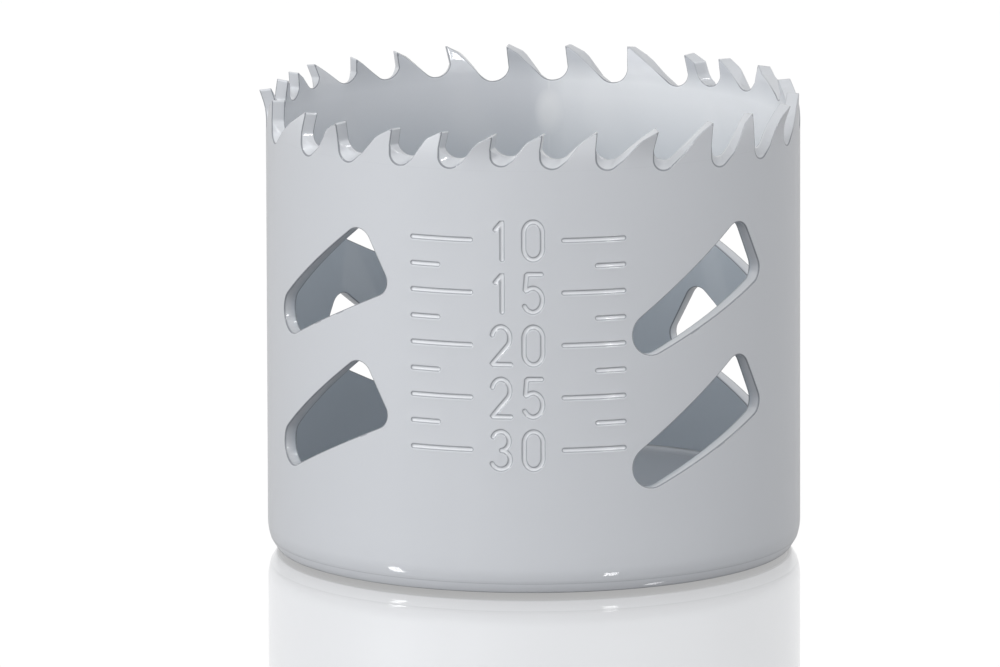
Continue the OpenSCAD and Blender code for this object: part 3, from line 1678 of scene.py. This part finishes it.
@dataclass(frozen=True)
class Enamel:
    """Glossy baked enamel on steel, slightly uneven, with light and shade
    painted into its colour.

    What goes up the wall is in metres and what goes round it in radians. The
    painted shade on stroke lips and the painted highlight in strokes go by the
    stroke tone. Peel, swell and sag are heights of the relief in millimetres.
    """

    name: str
    colour: tuple[float, float, float] = (0.60, 0.62, 0.652)
    # Painted shade along edges and stroke lips; the same colour draws the dark
    # joint under the tips.
    edge_colour: tuple[float, float, float] = (0.20, 0.215, 0.24)
    # Painted highlight in the floor of the stamped strokes.
    pool_colour: tuple[float, float, float] = (0.74, 0.76, 0.79)
    # Painted light and shade inside the cup: the lit rim, the lit side, the
    # shaded tips and the shaded deep part.
    rim_colour: tuple[float, float, float] = (0.67, 0.69, 0.725)
    seam_colour: tuple[float, float, float] = (0.84, 0.86, 0.885)
    # Painted highlight on the butt weld.
    weld_colour: tuple[float, float, float] = (0.93, 0.94, 0.95)
    tooth_colour: tuple[float, float, float] = (0.58, 0.60, 0.635)
    deep_colour: tuple[float, float, float] = (0.53, 0.58, 0.63)
    lightest: float = 1.015
    dim_height: float = 0.027
    dim_run: float = 0.012
    # Where the painted light of the lit side begins.
    seam_azimuth: float = 2.47
    seam_run: float = 0.14
    weld_azimuth: float = 2.392
    weld_height: float = 0.0374
    spot_core: float = 1.2
    spot_wide: float = 0.055
    spot_tall: float = 0.0022
    spot_share: float = 0.7
    line_wide: float = 0.006
    line_share: float = 0.35
    tip_height: float = 0.0405
    tip_run: float = 0.002
    joint_height: float = 0.0404
    joint_tall: float = 0.00007
    joint_share: float = 0.1
    sag_height: float = 0.0065
    sag_run: float = 0.003
    metallic: float = 0.12
    roughness: float = 0.42
    cloudiness: float = 0.08
    edge_share: float = 0.9
    lip_tone: float = 0.59
    lip_run: float = 0.13
    lip_share: float = 0.9
    # Where the painted highlight in the strokes lies.
    pool_tone: float = 0.72
    pool_run: float = 0.12
    broad_scale: float = 70.0
    fine_scale: float = 900.0
    sag_scale: float = 110.0
    peel: float = 0.006
    swell: float = 0.004
    sag: float = 0.04

    def noise(self, start: Wire, place: Wire, scale: float,
              detail: float) -> Wire:
        """Adds a noise on the piece's own coordinates.

        Args:
            start: wire that starts the material's maths.
            place: the coordinates.
            scale: scale of the noise.
            detail: its detail.

        Returns:
            The noise, about 0 to 1.
        """
        return start.out(start.node("ShaderNodeTexNoise", {
            "Vector": place, "Scale": scale, "Detail": detail}), "Fac")

    def cup_colour(self, azimuth: Wire, height: Wire) -> Wire:
        """Paints light and shade into the inside of the cup.

        It is painted shade that dims it low down and painted light that pales
        it towards the rim, most on the lit side past the butt weld, with a
        painted highlight spot and line on the weld, and painted shade on the
        tips.

        Args:
            azimuth: direction from the axis.
            height: height above the base.

        Returns:
            The colour.
        """
        # Painted light: the lit side of the upper inner wall is paler.
        lit_side = ((self.seam_azimuth - azimuth) / self.seam_run).clamp()
        rim = lit_side.blend((*self.rim_colour, 1), (*self.seam_colour, 1))
        # Painted highlight on the butt weld: a soft spot and a thin vertical
        # line.
        across = (azimuth - self.weld_azimuth).size()
        spot = self.spot_core - (across / self.spot_wide).squared() - (
            (height - self.weld_height) / self.spot_tall).squared()
        line = (1 - across / self.line_wide).clamp() * self.line_share
        bead = azimuth.maths("MAXIMUM", spot.clamp() * self.spot_share, line)
        rim = bead.blend(rim, (*self.weld_colour, 1))
        # Painted shade on the inner faces of the tips.
        tip = ((height - self.tip_height) / self.tip_run).clamp()
        rim = tip.blend(rim, (*self.tooth_colour, 1))
        # Painted shade low in the cup, painted light towards the rim.
        near_rim = ((height - self.dim_height) / self.dim_run).clamp()
        return near_rim.blend((*self.deep_colour, 1), rim)

    def worn(self, edge: Wire, inside: Wire, stroke: Wire, broad: Wire,
             height: Wire) -> Wire:
        """Works out where the dark colour goes.

        It is painted shade on edges and on the lips of stamped strokes, and,
        faintly outside, the dark joint between the tips and the strip.

        Args:
            edge: edge tone.
            inside: inside tone.
            stroke: stroke tone.
            broad: broad noise.
            height: height above the base.

        Returns:
            The share of the edge colour.
        """
        lip = (1 - (stroke - self.lip_tone).size() / self.lip_run).clamp()
        joint = (1 - (height - self.joint_height).size()
                 / self.joint_tall).clamp()
        joint = joint * (1 - inside) * broad * self.joint_share
        return edge.maths("MAXIMUM", edge.clamp() * self.edge_share,
                          lip * self.lip_share + joint)

    def make(self) -> bpy.types.Material:
        """Builds the material.

        Returns:
            The material.
        """
        material, start = new_material(self.name)
        place = start.out(start.node("ShaderNodeTexCoord"), "Object")
        axes = start.node("ShaderNodeSeparateXYZ", {0: place})
        x, y, height = (start.out(axes, number) for number in range(3))
        azimuth = start.maths("FLOORED_MODULO", start.maths("ARCTAN2", y, x),
                              TURN)
        edge, inside, stroke = (
            start.out(start.node("ShaderNodeAttribute", attribute_name=name),
                      "Fac") for name in TONES)
        broad = self.noise(start, place, self.broad_scale, 3.0)
        fine = self.noise(start, place, self.fine_scale, 2.0)
        sag = self.noise(start, place, self.sag_scale, 0.0)

        light = tuple(value * self.lightest for value in self.colour)
        colour = broad.blend((*self.colour, 1), (*light, 1))
        # Painted light and shade on every face that looks into the cup.
        colour = inside.blend(colour, self.cup_colour(azimuth, height))
        # Painted highlight in the floor of each stamped stroke.
        stroke_highlight = ((stroke - self.pool_tone) / self.pool_run).clamp()
        colour = stroke_highlight.blend(colour, (*self.pool_colour, 1))
        # Painted shade on edges and stroke lips, and the dark joint under the
        # tips.
        colour = self.worn(edge, inside, stroke, broad, height).blend(
            colour, (*self.edge_colour, 1))

        low = ((self.sag_height - height) / self.sag_run).clamp()
        relief = fine * self.peel + broad * self.swell + sag * low * self.sag
        bump = start.node("ShaderNodeBump", {
            "Strength": 1.0, "Distance": MM, "Height": relief})
        roughness = broad * self.cloudiness + (
            self.roughness - self.cloudiness / 2)
        surface = start.node("ShaderNodeBsdfPrincipled", {
            "Base Color": colour, "Roughness": roughness,
            "Metallic": self.metallic, "Normal": start.out(bump), "IOR": 1.4,
            "Coat Weight": 0.6, "Coat Roughness": 0.04, "Coat IOR": 1.7})
        start.node("ShaderNodeOutputMaterial",
                   {"Surface": start.out(surface)})
        return material


@dataclass(frozen=True)
class GlossyTable:
    """White table that mirrors the object and keeps its shadow.

    The camera sees a mix of white, mirror and matte. Other rays meet a grey
    matte face, and those from gloss a share of white and of mirror in it.
    """

    mirror: float = 0.6
    matte: float = 0.12
    glow: float = 1.38
    gloss_white: float = 0.1
    gloss_mirror: float = 0.4
    grey: tuple[float, float, float] = (0.3, 0.3, 0.31)
    mirror_roughness: float = 0.02

    def make(self) -> bpy.types.Material:
        """Builds the material.

        Returns:
            The material.
        """
        material, start = new_material("glossy_table")
        path = start.node("ShaderNodeLightPath")
        camera = start.out(path, "Is Camera Ray")
        gloss = start.out(path, "Is Glossy Ray")
        white = start.out(start.node("ShaderNodeEmission",
                                     {"Color": (1, 1, 1, 1),
                                      "Strength": self.glow}))
        matte = start.out(start.node("ShaderNodeBsdfDiffuse",
                                     {"Color": (*self.grey, 1)}))
        mirror = start.out(start.node("ShaderNodeBsdfGlossy", {
            "Color": (1, 1, 1, 1), "Roughness": self.mirror_roughness}))

        def mix(share: object, low: Wire, high: Wire) -> Wire:
            """Mixes two shaders.

            Args:
                share: share of the second.
                low: the first.
                high: the second.

            Returns:
                The mixed shader.
            """
            return start.out(start.node("ShaderNodeMixShader",
                                        {0: share, 1: low, 2: high}))

        seen = mix(self.matte + self.mirror, white,
                   mix(self.matte / (self.matte + self.mirror), mirror, matte))
        bright = mix(gloss * self.gloss_white, matte, white)
        bright = mix(gloss * self.gloss_mirror, bright, mirror)
        final = mix(camera, bright, seen)
        start.node("ShaderNodeOutputMaterial", {"Surface": final})
        return material


@dataclass(frozen=True)
class Lamp:
    """Rectangular lamp that faces the object.

    The side is in degrees from the camera, positive to its right, and the rise
    in degrees. Lengths are in millimetres. A glow of 1 is paper white. A glint
    lamp only shows in gloss; any other is soft light that doesn't show there.
    """

    name: str
    side: float
    rise: float
    far: float
    wide: float
    tall: float
    glow: float
    glint: bool = False


@dataclass
class Studio:
    """Camera, table and soft lights.

    Lengths are in millimetres, directions in degrees.
    """

    distance: float = 1690.7
    height: float = 339.6
    azimuth: float = -39.3
    pitch: float = 10.6975
    yaw: float = 0.1064
    roll: float = -0.15
    lens: float = 651.4
    room_light: float = 0.42
    table_half: float = 3000.0
    table_level: float = -0.35
    aim_height: float = 20.0
    lamps: tuple[Lamp, ...] = (
        Lamp("key", -46, 22, 900, 1100, 800, 2.85),
        Lamp("fill", 68, 20, 1000, 700, 700, 2.1),
        Lamp("left_glint", -65, 25, 900, 90, 150, 26, True),
        Lamp("right_glint", 35, 27, 900, 90, 110, 24, True),
        Lamp("high_glint", 80, 55, 900, 90, 90, 14, True))

    def add_camera(self) -> None:
        """Adds the camera at the photograph's viewing angle.

        It looks at the axis, pitched down, turned left by the yaw and rolled
        by the roll, all in degrees.
        """
        around = math.radians(self.azimuth)
        away = Vector((math.cos(around), math.sin(around), 0))
        place = away * self.distance + Vector((0, 0, self.height))
        ahead = -away
        right = ahead.cross(Vector((0, 0, 1)))
        pitch = math.radians(self.pitch)
        forward = ahead * math.cos(pitch) - Vector((0, 0, math.sin(pitch)))
        up = right.cross(forward)
        turn = (Matrix.Rotation(math.radians(self.yaw), 3, up)
                @ Matrix.Rotation(math.radians(self.roll), 3, -forward))
        axes = Matrix((turn @ right, turn @ up, -(turn @ forward)))
        data = bpy.data.cameras.new("camera")
        data.lens, data.sensor_width = self.lens, 36.0
        data.clip_start, data.clip_end = 0.1, 20.0
        camera = bpy.data.objects.new("camera", data)
        bpy.context.scene.collection.objects.link(camera)
        camera.matrix_world = (Matrix.Translation(place * MM)
                               @ axes.transposed().to_4x4())
        bpy.context.scene.camera = camera

    def add_table(self) -> None:
        """Adds the table: one large square just under the base."""
        half, level = self.table_half, self.table_level
        corner = np.array([[-half, -half, level], [half, -half, level],
                           [half, half, level], [-half, half, level]]) * MM
        mesh = bpy.data.meshes.new("table")
        mesh.from_pydata(corner.tolist(), [], [(0, 1, 2, 3)])
        table = bpy.data.objects.new("table", mesh)
        bpy.context.scene.collection.objects.link(table)
        table.data.materials.append(GlossyTable().make())

    def add_light(self, lamp: Lamp) -> None:
        """Adds one lamp.

        Args:
            lamp: the lamp.
        """
        around = math.radians(self.azimuth + lamp.side)
        up = math.radians(lamp.rise)
        way = Vector((math.cos(around) * math.cos(up),
                      math.sin(around) * math.cos(up), math.sin(up)))
        data = bpy.data.lights.new(lamp.name, "AREA")
        data.shape = "RECTANGLE"
        data.size, data.size_y = lamp.wide * MM, lamp.tall * MM
        data.energy = math.pi * data.size * data.size_y * lamp.glow
        light = bpy.data.objects.new(lamp.name, data)
        bpy.context.scene.collection.objects.link(light)
        light.location = (way * lamp.far * MM
                          + Vector((0, 0, self.aim_height * MM)))
        light.rotation_mode = "QUATERNION"
        light.rotation_quaternion = way.to_track_quat("Z", "Y")
        light.visible_glossy = lamp.glint
        light.visible_diffuse = not lamp.glint

    def add_sky(self) -> None:
        """Sets the world: white to the camera and in gloss, grey as light."""
        world = bpy.data.worlds.new("room")
        bpy.context.scene.world = world
        world.use_nodes = True
        world.node_tree.nodes.clear()
        start = Wire(world.node_tree, None)
        path = start.node("ShaderNodeLightPath")
        seen = (start.out(path, "Is Camera Ray")
                + start.out(path, "Is Glossy Ray")).clamp()
        strength = seen * (1 - self.room_light) + self.room_light
        sky = start.node("ShaderNodeBackground", {
            "Color": (1, 1, 1, 1), "Strength": strength})
        start.node("ShaderNodeOutputWorld", {"Surface": start.out(sky)})

    def build(self) -> None:
        """Builds the camera, table, lamps and world."""
        self.add_camera()
        self.add_table()
        for lamp in self.lamps:
            self.add_light(lamp)
        self.add_sky()
        bpy.context.scene.view_settings.view_transform = "Standard"


def corners(box: tuple[Vector, Vector]) -> list[list[float]]:
    """Writes a box's corners as plain lists.

    Args:
        box: its lowest and highest corner.

    Returns:
        The same corners, three numbers each.
    """
    return [list(corner) for corner in box]


def main() -> None:
    """Builds the studio and the pieces, in order, and reports each one."""
    logging.basicConfig(level=logging.INFO, format="%(name)s: %(message)s")
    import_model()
    Studio().build()

    strip = RolledStrip().build()
    strip.data.materials.append(Enamel("wall_enamel").make())
    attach(strip, "root")
    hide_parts("cup_wall", "tooth_tips")
    LOG.info("strip dressed")

    plate = BasePlate().build()
    plate.data.materials.append(Enamel("cap_enamel", roughness=0.4).make())
    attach(plate, "root")
    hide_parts("base_cap")
    LOG.info("base plate dressed")


if __name__ == "__main__":
    main()
